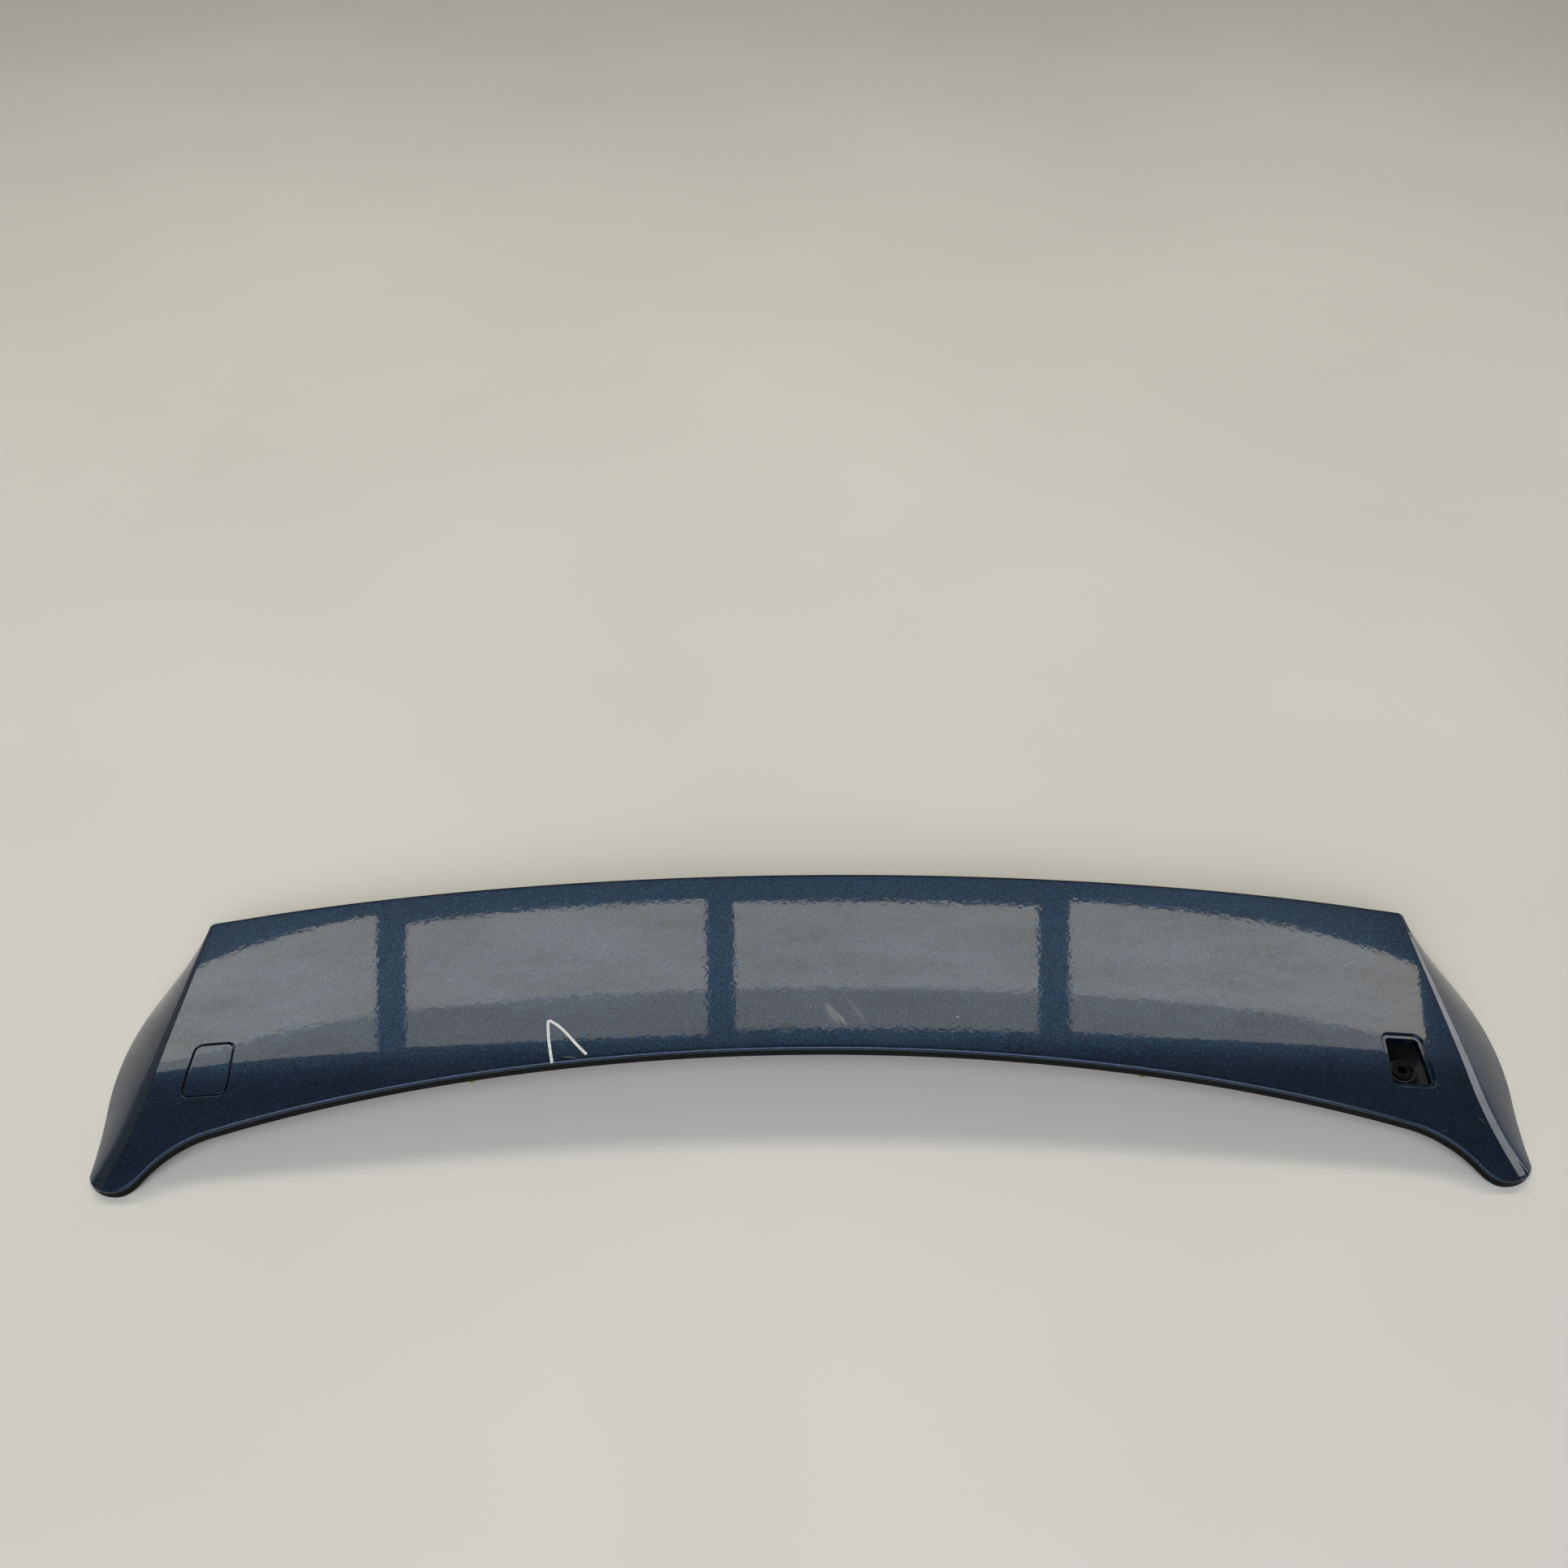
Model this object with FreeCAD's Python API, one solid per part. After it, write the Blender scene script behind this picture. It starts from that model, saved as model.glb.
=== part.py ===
import FreeCAD, Part
import math
import os

from FreeCAD import Vector

# Tailgate spoiler. X runs across the car, Y to the rear, Z up, as it sits on the tailgate.
# The origin lies midway between the two end screws, at the height of their seats.

# Top surface
TOP_Z = 58.0                # crest of the top above the screw seats
CROWN_RADIUS = 6000.0       # curve of the top across the car
END_DROP = 6.0              # extra fall of the top at END_SPAN from the centre
END_SPAN = 550.0
END_POWER = 6
CREST_Y = 150.0             # line where the top is level from front to back
CAMBER_RADIUS = 4170.0      # curve of the top from front to back
DROOP_START = 10.0          # ahead of this line the legs droop
DROOP_RADIUS = 250.0
TOP_HALF_WIDTH = 640.0      # the top is drawn past the outline to these lines
TOP_FRONT = -130.0
TOP_REAR = 220.0

# Plan outline
CHORD = 180.5               # leading edge to trailing edge at the centre
LEADING_RADIUS = 2200.0
TRAILING_RADIUS = 5000.0
CORNER_X = 526.0            # centre of the trailing corner
CORNER_RADIUS = 20.0
CORNER_TURN = 40.0          # how far the trailing corner turns before the side takes over
NOSE_X = 560.0              # centre of the leg's round nose
NOSE_Y = -65.0
NOSE_RADIUS = 28.0
NOSE_TURN = 60.0            # how far the nose turns up the outer side
LEG_BLEND_RADIUS = 113.0    # hollow curve from the leading edge into the leg

# Sides
CREASE_REAR_X = 529.0       # line between the top and the side facet
CREASE_REAR_Y = 150.0
CREASE_FLARE = 0.085        # outward run of that line for each millimetre forward
SPLAY_Y = -13.0             # ahead of this line the legs splay out
SPLAY_RADIUS = 150.0
FACET_SLOPE = 30.0
FACET_REAR = 4.0            # width of the side facet at the trailing corner
FACET_TIP = 10.0            # and at the leg's tip
FIN_BULGE = 52.0            # run of the outer side from the crease to its foot, at its widest
FIN_BULGE_Y = 35.0          # where that is
FIN_REAR_RUN = 147.0        # from there to where the bulge would end, to the rear
FIN_FRONT_RUN = 154.0       # and to the front
SIDE_BOW = 3.0              # belly of the outer side
SIDE_ABOVE = 40.0           # the facet's plane is drawn up past the top by this
SIDE_SLANT = 1.5            # run across the slanted side's wall for each millimetre of wall
TIP_HEIGHT = 7.0            # top of the leg's tip above the fins' feet
FIN_REAR_Y = 122.0          # where the fin's foot starts to sweep up
FIN_SWEEP_ANGLE = 45.0

# Walls and edges of the skin
SKIN_WALL = 3.0
LIP_DEPTH = 10.0            # leading and trailing lips, below the top
LEADING_ROLL = 4.0

# End screws, their cover caps and the openings that the caps close
SCREW_X = 495.0
CAP_LENGTH = 46.0
CAP_REAR_WIDTH = 32.0
CAP_FRONT_WIDTH = 38.0
CAP_CORNER = 6.0
CAP_WALL = 2.2
CAP_GAP = 1.0               # shut line round the cap
LEDGE_WIDTH = 3.5           # rebate that the cap sits on
COLLAR_WALL = 2.0
COLLAR_DEPTH = 9.0          # from the top to the foot of the collar
HOOK_WIDTH = 10.0
HOOK_WALL = 1.6
HOOK_CATCH = 1.2            # how far a hook reaches under the collar
SLEEVE_RADIUS = 5.0
SCREW_HOLE_RADIUS = 3.3     # clears an M6 screw
SLEEVE_FLANGE_RADIUS = 9.0
SLEEVE_FLANGE = 1.5
BOSS_RADIUS = 11.0
BOSS_HEIGHT = 13.0
SEAL_RING_RADIUS = 13.0
SEAL_RING_BORE = 6.0
SEAL_RING_THICK = 3.0

# Inner panel
PANEL_WALL = 2.5
RIM_DEPTH = 6.5             # from the top to the underside of the panel's rim
BASE_DEPTH = 28.0           # and to the underside of its base
FRONT_RIM = 18.5            # width of the rim along the leading edge
REAR_RIM = 8.0
SIDE_RIM = 8.0
FRONT_RISE = 20.0           # run of the wall between rim and base
REAR_RISE = 75.0
SIDE_RISE = 32.0
BOND_GAP = 0.6              # glue line
PANEL_HALF_WIDTH = 600.0    # the panel's form is drawn past the sides to here

# Clips, strip and pads
CLIP_X = 277.0
CLIP_BACK = 7.6             # clip axis behind the leading edge
CLIP_WIDTH = 5.6
CLIP_SHOULDER = 8.0         # width across the barbs
CLIP_ARM = 1.4
CLIP_THICK = 5.0
CLIP_LENGTH = 17.0
CLIP_BASE = 1.6
CLIP_BASE_WIDTH = 14.0
CLIP_BASE_THICK = 7.0
STRIP_FRONT = 12.2          # strip behind the leading edge
STRIP_WIDTH = 4.0
STRIP_HEIGHT = 5.0
STRIP_HALF_SPAN = 430.0
PAD_RADIUS = 8.0
PAD_X = 546.0
PAD_Y = -53.0
PAD_FOOT = 3.0              # pad's foot above the fin's foot
SEAT_GAP = 0.1

DEEP = 200.0                # length of cutting bodies
OUT_X = 620.0               # the plan outline runs out past the sides to here
UP = Vector(0, 0, 1)


def top_height(x, y):
    """Height of the painted top."""
    crown = x * x / (2 * CROWN_RADIUS) + END_DROP * (abs(x) / END_SPAN) ** END_POWER
    camber = (y - CREST_Y) ** 2 / (2 * CAMBER_RADIUS)
    droop = min(y - DROOP_START, 0.0) ** 2 / (2 * DROOP_RADIUS)
    return TOP_Z - crown - camber - droop


def span(first, last, count):
    """Evenly spaced values from first to last."""
    return [first + (last - first) * i / (count - 1) for i in range(count)]


def smooth_face(rows):
    """Smooth face through rows of points."""
    surface = Part.BSplineSurface()
    surface.interpolate(rows)
    return surface.toShape()


def make_top_face():
    """The top, carried past the outline on all sides."""
    xs = span(-TOP_HALF_WIDTH, TOP_HALF_WIDTH, 33)
    ys = span(TOP_FRONT, TOP_REAR, 15)
    return smooth_face([[Vector(x, y, top_height(x, y)) for y in ys] for x in xs])


TOP_FACE = make_top_face()


def under_top(drop):
    """All that lies at least drop below the top."""
    face = TOP_FACE.copy()
    face.translate(Vector(0, 0, -drop))
    return face.extrude(Vector(0, 0, -DEEP))


def polar(centre, radius, angle):
    """Point on a circle in plan."""
    return Vector(centre.x + radius * math.cos(angle), centre.y + radius * math.sin(angle), 0)


def arc(centre, radius, first, last):
    """Arc in plan from one angle to another."""
    middle = polar(centre, radius, (first + last) / 2)
    return Part.Arc(polar(centre, radius, first), middle, polar(centre, radius, last)).toShape()


def bearing(origin, target):
    """Direction from one point to another in plan."""
    return math.atan2(target.y - origin.y, target.x - origin.x)


def blend_centre(first, first_distance, second, second_distance):
    """Point at given distances from two others, to the left of the line between them."""
    gap = (second - first).Length
    cosine = (first_distance ** 2 + gap ** 2 - second_distance ** 2) / (2 * first_distance * gap)
    return polar(first, first_distance, bearing(first, second) + math.acos(cosine))


LEADING_CENTRE = Vector(0, -LEADING_RADIUS, 0)
TRAILING_CENTRE = Vector(0, CHORD - TRAILING_RADIUS, 0)
NOSE_CENTRE = Vector(NOSE_X, NOSE_Y, 0)
BLEND_CENTRE = blend_centre(
    LEADING_CENTRE, LEADING_RADIUS - LEG_BLEND_RADIUS, NOSE_CENTRE, LEG_BLEND_RADIUS + NOSE_RADIUS
)
CORNER_REACH = TRAILING_RADIUS - CORNER_RADIUS
CORNER_CENTRE = Vector(CORNER_X, TRAILING_CENTRE.y + math.sqrt(CORNER_REACH ** 2 - CORNER_X ** 2), 0)
TIP_Y = NOSE_Y - NOSE_RADIUS


def plan_face(inset, legs):
    """Plan outline, inset from its leading and trailing edges; the sides are cut by the side body."""
    trailing_angle = bearing(TRAILING_CENTRE, CORNER_CENTRE)
    corner_end = math.radians(90 - CORNER_TURN)
    corner_point = polar(CORNER_CENTRE, CORNER_RADIUS - inset, corner_end)
    rear_out = corner_point + Vector(1, -math.tan(math.radians(CORNER_TURN)), 0) * (OUT_X - corner_point.x)
    half = [
        arc(TRAILING_CENTRE, TRAILING_RADIUS - inset, math.pi / 2, trailing_angle),
        arc(CORNER_CENTRE, CORNER_RADIUS - inset, trailing_angle, corner_end),
        Part.makeLine(corner_point, rear_out),
    ]
    if legs:
        nose_start = math.radians(NOSE_TURN - 90)
        nose_end = bearing(NOSE_CENTRE, BLEND_CENTRE)
        leading_angle = bearing(LEADING_CENTRE, BLEND_CENTRE)
        nose_point = polar(NOSE_CENTRE, NOSE_RADIUS - inset, nose_start)
        front_out = nose_point + Vector(1, math.tan(math.radians(NOSE_TURN)), 0) * (OUT_X - nose_point.x)
        half += [
            Part.makeLine(front_out, nose_point),
            arc(NOSE_CENTRE, NOSE_RADIUS - inset, nose_start, nose_end),
            arc(BLEND_CENTRE, LEG_BLEND_RADIUS + inset, nose_end + math.pi, leading_angle),
        ]
    else:
        leading_angle = math.acos(OUT_X / (LEADING_RADIUS + inset))
        front_out = polar(LEADING_CENTRE, LEADING_RADIUS + inset, leading_angle)
    half.append(arc(LEADING_CENTRE, LEADING_RADIUS + inset, leading_angle, math.pi / 2))
    half.append(Part.makeLine(rear_out, front_out))
    other = [edge.mirror(Vector(0, 0, 0), Vector(1, 0, 0)) for edge in half]
    return Part.Face(Part.Wire(Part.sortEdges(half + other)[0]))


def upright(face):
    """Column over a plan face, clear of the body above and below."""
    face.translate(UP * -DEEP)
    return face.extrude(UP * 2 * DEEP)


def crease_x(y):
    """Plan line of the crease between the top and the side."""
    splay = max(0.0, SPLAY_Y - y) ** 2 / (2 * SPLAY_RADIUS)
    return CREASE_REAR_X + (CREASE_REAR_Y - y) * CREASE_FLARE + splay


FOOT_Z = top_height(crease_x(TIP_Y), TIP_Y) - TIP_HEIGHT


def foot_x(y):
    """Plan line of the fin's foot."""
    run = FIN_REAR_RUN if y > FIN_BULGE_Y else FIN_FRONT_RUN
    return crease_x(y) + FIN_BULGE * (1 - ((y - FIN_BULGE_Y) / run) ** 2)


def side_section(y, inset):
    """Closed section across the car: both outer sides, their facets, and clear space above the top."""
    slope = math.radians(FACET_SLOPE)
    crease = Vector(crease_x(y), y, top_height(crease_x(y), y))
    width = FACET_REAR + (FACET_TIP - FACET_REAR) * (CREASE_REAR_Y - y) / (CREASE_REAR_Y - TIP_Y)
    facet = Vector(math.cos(slope), 0, -math.sin(slope))
    shoulder = crease + facet * width
    foot = Vector(max(foot_x(y), shoulder.x), y, min(FOOT_Z, shoulder.z - 1))
    fall = (foot - shoulder).normalize()
    belly = (shoulder + foot) / 2 + Vector(-fall.z, 0, fall.x) * SIDE_BOW
    shift = Vector(inset * SIDE_SLANT, 0, 0)
    above = crease - facet * SIDE_ABOVE - shift
    foot, belly, shoulder = foot - shift, belly - shift, shoulder - shift
    root = foot - Vector(0, 0, LIP_DEPTH)
    lid = Vector(above.x, y, DEEP)
    flip = lambda p: Vector(-p.x, p.y, p.z)
    path = [root, foot, shoulder, above, lid]
    right = [Part.makeLine(p, q) for p, q in zip(path, path[1:])]
    left = [Part.makeLine(flip(q), flip(p)) for p, q in zip(path, path[1:])][::-1]
    right[1] = Part.Arc(foot, belly, shoulder).toShape()
    left[-2] = Part.Arc(flip(shoulder), flip(belly), flip(foot)).toShape()
    roof = Part.makeLine(lid, flip(lid))
    base = Part.makeLine(flip(root), root)
    return Part.Wire(right + [roof] + left + [base])


def side_body(inset):
    """All that lies between the two outer sides."""
    stations = span(TIP_Y - LIP_DEPTH, CHORD + LIP_DEPTH, 9)
    return Part.makeLoft([side_section(y, inset) for y in stations], True, False)


SIDE_SKIN = side_body(SKIN_WALL)


def leading_y(x):
    """Plan line of the leading edge, carried on past the legs."""
    return math.sqrt(LEADING_RADIUS ** 2 - x * x) - LEADING_RADIUS


def trailing_y(x):
    """Plan line of the trailing edge."""
    return TRAILING_CENTRE.y + math.sqrt(TRAILING_RADIUS ** 2 - x * x)


def rolled_edges(body):
    """Edges between the top and the leading lip."""
    found = []
    for edge in body.Edges:
        ends = [edge.valueAt(edge.FirstParameter), edge.valueAt(edge.LastParameter)]
        points = ends + [edge.valueAt((edge.FirstParameter + edge.LastParameter) / 2)]
        on_top = all(abs(p.z - top_height(p.x, p.y)) < SEAT_GAP for p in points)
        on_crease = abs(abs(points[2].x) - crease_x(points[2].y)) < SKIN_WALL
        if on_top and not on_crease and points[2].y < CHORD / 2:
            found.append(edge)
    return found


def outer_column():
    """The spoiler's outer form as a full body standing on its fins."""
    body = under_top(0).common(upright(plan_face(0, True))).common(side_body(0))
    body = body.cut(Part.makeBox(2 * OUT_X, 2 * CHORD + 2 * DEEP, DEEP, Vector(-OUT_X, -DEEP, FOOT_Z - DEEP)))
    return body.makeFillet(LEADING_ROLL, rolled_edges(body))


def fin_sweep():
    """Cutter that lifts the fins' feet towards the trailing corners."""
    run = CHORD + LIP_DEPTH - FIN_REAR_Y
    rise = run * math.tan(math.radians(FIN_SWEEP_ANGLE))
    start = Vector(-OUT_X, FIN_REAR_Y, FOOT_Z)
    profile = Part.makePolygon([start, start + Vector(0, run, rise), start + Vector(0, run, 0), start])
    return Part.Face(profile).extrude(Vector(2 * OUT_X, 0, 0))


def cap_column(grow, side):
    """Upright column over a cover cap's outline, grown all round."""
    half = CAP_LENGTH / 2 + grow
    middle = (CAP_REAR_WIDTH + CAP_FRONT_WIDTH) / 4 + grow
    lean = (CAP_FRONT_WIDTH - CAP_REAR_WIDTH) / (2 * CAP_LENGTH) * half
    centre = Vector(side * SCREW_X, 0, 0)
    rear = Vector(middle - lean, half, 0)
    front = Vector(middle + lean, -half, 0)
    flip = lambda p: Vector(-p.x, p.y, 0)
    corners = [centre + p for p in (rear, front, flip(front), flip(rear), rear)]
    column = upright(Part.Face(Part.makePolygon(corners)))
    posts = [e for e in column.Edges if abs(e.tangentAt(e.FirstParameter).z) > 0.99]
    return column.makeFillet(CAP_CORNER + grow, posts)


def outer_skin():
    """Painted shell: top, rolled leading lip, trailing lip, fins, and the two recessed cap openings."""
    void = under_top(SKIN_WALL).common(upright(plan_face(SKIN_WALL, True))).common(SIDE_SKIN)
    arch = under_top(LIP_DEPTH).common(SIDE_SKIN)
    skin = outer_column().cut(void).cut(arch).cut(fin_sweep())
    for side in (-1, 1):
        collar = cap_column(CAP_GAP + COLLAR_WALL, side).common(under_top(SKIN_WALL / 2))
        skin = skin.fuse(collar.cut(under_top(COLLAR_DEPTH)))
        skin = skin.cut(cap_column(CAP_GAP, side).cut(under_top(CAP_WALL + SEAT_GAP)))
        skin = skin.cut(cap_column(CAP_GAP - LEDGE_WIDTH, side))
    return skin


def cover_cap(side):
    """Cap flush with the top, with a snap hook at its front and rear."""
    cap = cap_column(0, side).common(under_top(0)).cut(under_top(CAP_WALL))
    reach = CAP_LENGTH / 2 + CAP_GAP - LEDGE_WIDTH - 2 * SEAT_GAP
    for end in (-1, 1):
        collar_z = top_height(SCREW_X + HOOK_WIDTH / 2, end * reach) - COLLAR_DEPTH - 3 * SEAT_GAP
        root_z = top_height(SCREW_X, end * reach) - CAP_WALL / 2
        blade_foot = collar_z - 2 * HOOK_CATCH
        blade = [
            Vector(0, reach - HOOK_WALL, root_z),
            Vector(0, reach - HOOK_WALL, blade_foot),
            Vector(0, reach, blade_foot),
            Vector(0, reach + HOOK_CATCH, collar_z - HOOK_CATCH / 2),
            Vector(0, reach + HOOK_CATCH, collar_z),
            Vector(0, reach, collar_z),
            Vector(0, reach, root_z),
        ]
        points = [Vector(side * SCREW_X - HOOK_WIDTH / 2, end * p.y, p.z) for p in blade + blade[:1]]
        cap = cap.fuse(Part.Face(Part.makePolygon(points)).extrude(Vector(HOOK_WIDTH, 0, 0)))
    return cap


def ease(distance, rim, rise):
    """Smooth step from the rim, 0, to the base, 1."""
    t = min(max((distance - rim) / rise, 0.0), 1.0)
    return t * t * (3 - 2 * t)


def panel_point(x, y):
    """Point on the underside of the inner panel."""
    front = ease(y - leading_y(x), FRONT_RIM, FRONT_RISE)
    rear = ease(trailing_y(x) - y, REAR_RIM, REAR_RISE)
    side = ease(crease_x(y) - abs(x), SIDE_RIM, SIDE_RISE)
    depth = RIM_DEPTH + (BASE_DEPTH - RIM_DEPTH) * front * rear * side
    return Vector(x, y, top_height(x, y) - depth)


def panel_face():
    """Underside of the inner panel: rim, walls and base."""
    rows = []
    front_turns = FRONT_RIM + FRONT_RISE
    rear_turns = REAR_RIM + REAR_RISE
    for x in span(-PANEL_HALF_WIDTH, PANEL_HALF_WIDTH, 61):
        first, last = leading_y(x), trailing_y(x)
        ys = [first + u for u in span(-LIP_DEPTH, front_turns + LIP_DEPTH, 12)]
        ys += [last - v for v in span(rear_turns, -LIP_DEPTH, 11)]
        rows.append([panel_point(x, y) for y in ys])
    return smooth_face(rows)


def inner_panel():
    """Moulded underside bonded inside the skin's lips, with a screw boss under each cap."""
    inset = SKIN_WALL + BOND_GAP
    panel = panel_face().extrude(UP * PANEL_WALL)
    outline = upright(plan_face(inset, True)).common(upright(plan_face(inset, False)))
    panel = panel.common(outline).common(side_body(inset))
    for side in (-1, 1):
        foot = Vector(side * SCREW_X, 0, 0)
        panel = panel.fuse(Part.makeCylinder(BOSS_RADIUS, BOSS_HEIGHT, foot))
        panel = panel.cut(Part.makeCylinder(SLEEVE_RADIUS + SEAT_GAP, 2 * DEEP, foot - UP * DEEP))
    return panel


def screw_sleeve(side):
    """Flanged steel sleeve that takes the end screw's load through the boss."""
    foot = Vector(side * SCREW_X, 0, 0)
    sleeve = Part.makeCylinder(SLEEVE_RADIUS, BOSS_HEIGHT, foot)
    sleeve = sleeve.fuse(Part.makeCylinder(SLEEVE_FLANGE_RADIUS, SLEEVE_FLANGE, foot + UP * BOSS_HEIGHT))
    return sleeve.cut(Part.makeCylinder(SCREW_HOLE_RADIUS, DEEP, foot)).removeSplitter()


def screw_seal(side):
    """Foam ring under the screw seat."""
    foot = Vector(side * SCREW_X, 0, -SEAL_RING_THICK)
    ring = Part.makeCylinder(SEAL_RING_RADIUS, SEAL_RING_THICK, foot)
    return ring.cut(Part.makeCylinder(SEAL_RING_BORE, SEAL_RING_THICK, foot))


def edge_clip(side):
    """Push-in clip: a base under the panel's rim and a split bow with barbs."""
    y = leading_y(CLIP_X) + CLIP_BACK
    z = top_height(CLIP_X, y) - RIM_DEPTH - SEAT_GAP
    half = CLIP_WIDTH / 2
    barb = CLIP_SHOULDER / 2
    slot = half - CLIP_ARM
    nose = -CLIP_LENGTH + half
    barb_z = nose / 2
    outer = [(half, 0), (half, barb_z / 2), (barb, barb_z), (half, nose)]
    inner = [(slot, -CLIP_ARM), (slot, barb_z / 2), (barb - CLIP_ARM, barb_z), (slot, nose)]
    plates = []
    for path, radius in ((outer, half), (inner, slot)):
        right = [Vector(px, 0, pz) for px, pz in path]
        left = [Vector(-p.x, 0, p.z) for p in right]
        edges = [Part.makeLine(p, q) for p, q in zip(right, right[1:])]
        edges.append(Part.Arc(right[-1], Vector(0, 0, nose - radius), left[-1]).toShape())
        edges += [Part.makeLine(p, q) for p, q in zip(left, left[1:])]
        edges.append(Part.makeLine(left[0], right[0]))
        plates.append(Part.Face(Part.Wire(Part.sortEdges(edges)[0])).extrude(Vector(0, CLIP_THICK, 0)))
    bow = plates[0].cut(plates[1])
    bow.translate(Vector(0, -CLIP_THICK / 2, -CLIP_BASE))
    corner = Vector(-CLIP_BASE_WIDTH / 2, -CLIP_BASE_THICK / 2, -CLIP_BASE)
    clip = bow.fuse(Part.makeBox(CLIP_BASE_WIDTH, CLIP_BASE_THICK, CLIP_BASE, corner)).removeSplitter()
    across = (top_height(CLIP_X + 1, y) - top_height(CLIP_X - 1, y)) / 2
    along = (top_height(CLIP_X, y + 1) - top_height(CLIP_X, y - 1)) / 2
    clip.rotate(Vector(0, 0, 0), Vector(0, 1, 0), -math.degrees(math.atan(across)) * side)
    clip.rotate(Vector(0, 0, 0), Vector(1, 0, 0), math.degrees(math.atan(along)))
    clip.translate(Vector(side * CLIP_X, y, z))
    return clip


def leading_edge_seal():
    """Rubber strip under the panel's front rim."""
    inner = LEADING_RADIUS + STRIP_FRONT
    outer = inner + STRIP_WIDTH
    first = math.acos(STRIP_HALF_SPAN / inner)
    last = math.pi - first
    edges = [
        arc(LEADING_CENTRE, inner, first, last),
        arc(LEADING_CENTRE, outer, first, last),
        Part.makeLine(polar(LEADING_CENTRE, inner, first), polar(LEADING_CENTRE, outer, first)),
        Part.makeLine(polar(LEADING_CENTRE, inner, last), polar(LEADING_CENTRE, outer, last)),
    ]
    band = upright(Part.Face(Part.Wire(Part.sortEdges(edges)[0])))
    return band.common(under_top(RIM_DEPTH + SEAT_GAP)).cut(under_top(RIM_DEPTH + STRIP_HEIGHT))


def leg_pad(side):
    """Foam pad under the panel's rim in the leg, which keeps the leg off the paint."""
    foot = Vector(side * PAD_X, PAD_Y, FOOT_Z + PAD_FOOT)
    return Part.makeCylinder(PAD_RADIUS, DEEP, foot).common(under_top(RIM_DEPTH + SEAT_GAP))


def main():
    os.makedirs("parts", exist_ok=True)
    nodes = {"outer_skin": outer_skin(), "inner_panel": inner_panel(), "leading_edge_seal": leading_edge_seal()}
    nodes["cover_cap_left"] = cover_cap(-1)
    for name, side in (("left", -1), ("right", 1)):
        nodes["screw_sleeve_" + name] = screw_sleeve(side)
        nodes["screw_seal_" + name] = screw_seal(side)
        nodes["edge_clip_" + name] = edge_clip(side)
        nodes["leg_pad_" + name] = leg_pad(side)
    for name, shape in nodes.items():
        shape.exportStep("parts/" + name + ".step")


main()
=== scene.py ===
import math

import bpy
import numpy as np
from mathutils import Matrix, Vector


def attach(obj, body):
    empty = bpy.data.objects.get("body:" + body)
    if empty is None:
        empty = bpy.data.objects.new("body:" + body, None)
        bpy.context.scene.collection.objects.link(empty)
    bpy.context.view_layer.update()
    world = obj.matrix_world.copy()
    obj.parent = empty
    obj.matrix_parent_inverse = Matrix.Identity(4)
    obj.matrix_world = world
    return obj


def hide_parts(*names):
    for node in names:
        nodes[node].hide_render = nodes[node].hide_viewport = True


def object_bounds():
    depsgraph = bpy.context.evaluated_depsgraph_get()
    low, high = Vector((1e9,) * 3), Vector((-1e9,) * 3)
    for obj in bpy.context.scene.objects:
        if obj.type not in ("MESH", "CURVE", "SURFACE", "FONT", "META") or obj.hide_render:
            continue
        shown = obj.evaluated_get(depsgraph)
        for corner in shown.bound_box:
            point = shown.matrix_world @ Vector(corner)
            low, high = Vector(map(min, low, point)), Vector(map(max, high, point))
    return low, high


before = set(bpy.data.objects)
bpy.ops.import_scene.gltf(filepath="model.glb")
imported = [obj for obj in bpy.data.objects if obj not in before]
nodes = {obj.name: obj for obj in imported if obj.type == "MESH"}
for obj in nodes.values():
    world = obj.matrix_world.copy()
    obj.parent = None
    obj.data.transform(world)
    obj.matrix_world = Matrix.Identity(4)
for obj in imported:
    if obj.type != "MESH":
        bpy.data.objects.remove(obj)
cad_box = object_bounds()

MM = 0.001
FLOOR_Z = cad_box[0][2] / MM   # the fins stand on the floor

# Form of the spoiler, in millimetres
TOP_Z = 58.0                # crest of the top above the screw seats
CROWN_RADIUS = 6000.0       # curve of the top across the car
END_DROP = 6.0              # extra fall of the top at END_SPAN from the centre
END_SPAN = 550.0
END_POWER = 6
CREST_Y = 150.0             # line where the top is level from front to back
CAMBER_RADIUS = 4170.0      # curve of the top from front to back
DROOP_START = 10.0          # ahead of this line the legs droop
DROOP_RADIUS = 250.0
CHORD = 180.5               # leading edge to trailing edge at the centre
LEADING_RADIUS = 2200.0
TRAILING_RADIUS = 5000.0
CORNER_X, CORNER_Y = 526.0, 132.64          # centre of the trailing corner
CORNER_RADIUS = 20.0
CORNER_TURN = 40.0                          # slope in degrees of the straight cut beside it
CORNER_END_X, CORNER_END_Y = 538.86, 147.96  # where the cut starts
NOSE_X, NOSE_Y = 560.0, -65.0               # centre of the leg's round nose
NOSE_RADIUS = 28.0
NOSE_TURN = 60.0                            # slope in degrees of the straight cut beside it
NOSE_END_X, NOSE_END_Y = 584.25, -79.0      # where the cut starts
TIP_Y = NOSE_Y - NOSE_RADIUS
LEG_BLEND_RADIUS = 113.0    # hollow curve from the leading edge into the leg
CREASE_REAR_X = 529.0       # line between the top and the side facet
CREASE_FLARE = 0.085        # outward run of that line for each millimetre forward
SPLAY_Y = -13.0             # ahead of this line the legs splay out
SPLAY_RADIUS = 150.0
FACET_SLOPE = 30.0          # degrees
FACET_REAR = 4.0            # width of the side facet at the trailing corner
FACET_TIP = 13.5            # and at the leg's tip
FIN_BULGE = 52.0            # run of the outer side from the crease to its foot, at its widest
FIN_BULGE_Y = 35.0          # where that is
FIN_REAR_RUN = 147.0        # from there to where the bulge would end, to the rear
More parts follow.
